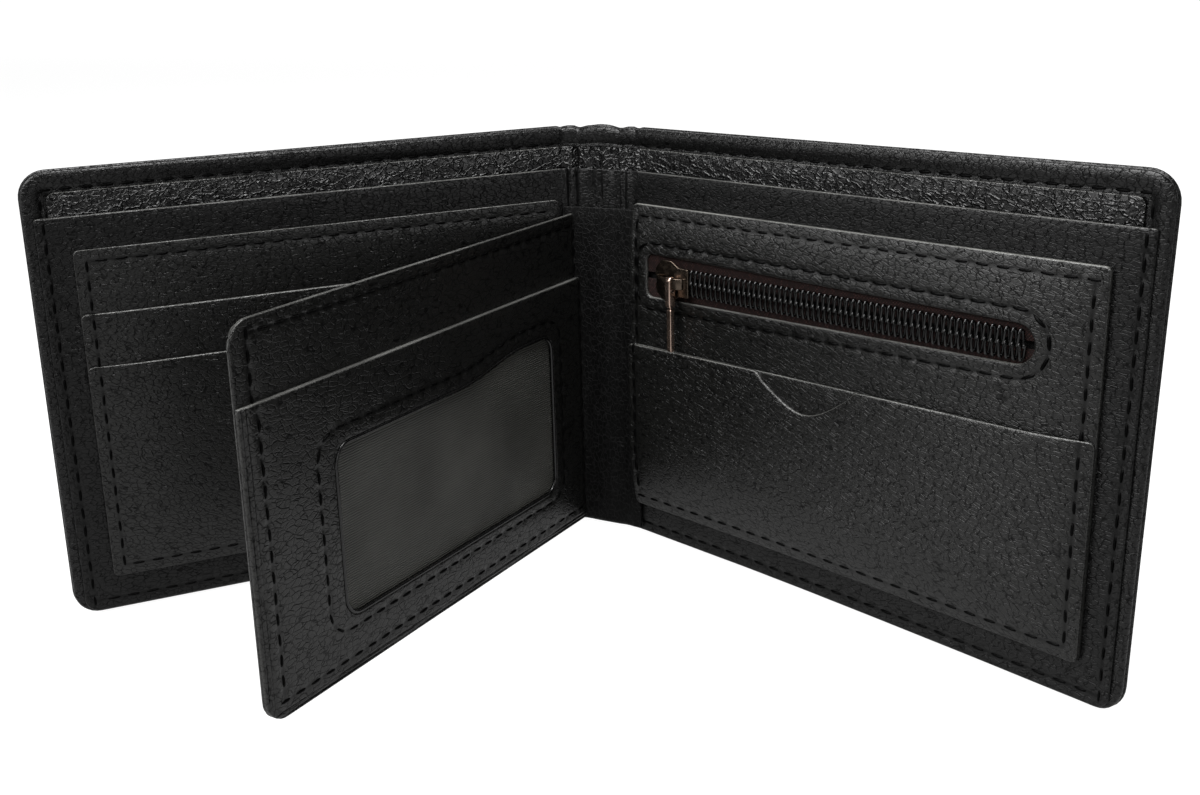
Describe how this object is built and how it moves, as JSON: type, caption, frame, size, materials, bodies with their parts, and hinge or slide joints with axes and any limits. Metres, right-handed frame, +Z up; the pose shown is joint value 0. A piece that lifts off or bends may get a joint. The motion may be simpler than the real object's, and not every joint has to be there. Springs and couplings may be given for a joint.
{
  "type": "bifold wallet",
  "caption": "Folding leather wallet with a flip wing and clear identity window, card pockets, note compartment and zipped coin pocket, half open.",
  "frame": {"origin": "middle of the plan under the half-open wallet, on the surface that it stands on", "axes": "+X along the spine from the left half to the right half, -Y towards the inside of the fold, +Z up"},
  "size_m": [0.2028, 0.111, 0.095],
  "materials": {
    "cover_leather": "black pebbled leather, semi-gloss",
    "pocket_leather": "black creased leather, semi-gloss",
    "lining_leather": "black coarse shrunken-grain lining",
    "pocket_cloth": "black woven lining",
    "zip_tape": "dark brown woven tape",
    "zip_coil": "glossy black nylon",
    "zip_metal": "bronzed, polished",
    "window_film": "smoked film with fine ribs"
  },
  "bodies": {
    "spine": {"cover_spine": "cover_leather", "lining_spine": "lining_leather", "divider_spine": "pocket_leather", "gusset_spine": "pocket_leather"},
    "left_half": {"cover_left": "cover_leather", "lining_left": "lining_leather", "divider_left": "pocket_leather", "card_panel_left": "pocket_leather", "card_slot_left_upper": "pocket_leather", "card_slot_left_lower": "pocket_leather", "wing_hinge_tab": "pocket_leather"},
    "id_wing": {"wing_back": "pocket_leather", "wing_card_panel": "pocket_leather", "wing_window_film": "window_film", "wing_window_panel": "pocket_leather"},
    "right_half": {"cover_right": "cover_leather", "lining_right": "lining_leather", "divider_right": "pocket_leather", "coin_pocket_lining": "pocket_cloth", "zip_tape_upper": "zip_tape", "zip_tape_lower": "zip_tape", "zip_coil_upper": "zip_coil", "zip_coil_lower": "zip_coil", "zip_panel": "pocket_leather", "card_slot_right_rear": "pocket_leather", "card_slot_right_front": "pocket_leather"},
    "zip_slider": {"slider_body": "zip_metal"},
    "zip_pull": {"pull_tab": "zip_metal"}
  },
  "joints": [
    {"name": "left_fold", "type": "hinge", "parent": "spine", "child": "left_half", "pos_m": [-0.02671, 0.05427, 0], "axis": [0, 0, -1], "range_deg": [-39, 51]},
    {"name": "right_fold", "type": "hinge", "parent": "spine", "child": "right_half", "pos_m": [-0.01097, 0.05427, 0], "axis": [0, 0, 1], "range_deg": [-72, 18]},
    {"name": "wing_hinge", "type": "hinge", "parent": "left_half", "child": "id_wing", "pos_m": [-0.02503, 0.04705, 0], "axis": [0, 0, 1], "range_deg": [-34.5, 70]},
    {"name": "zip_slide", "type": "slide", "parent": "right_half", "child": "zip_slider", "axis": [0.9511, -0.309, 0], "range_m": [0, 0.076], "deforming": ["zip_coil_upper", "zip_coil_lower"]},
    {"name": "pull_swing", "type": "hinge", "parent": "zip_slider", "child": "zip_pull", "pos_m": [-0.00071, 0.04314, 0.0634], "axis": [-0.9511, 0.309, 0], "range_deg": [0, 150]}
  ]
}
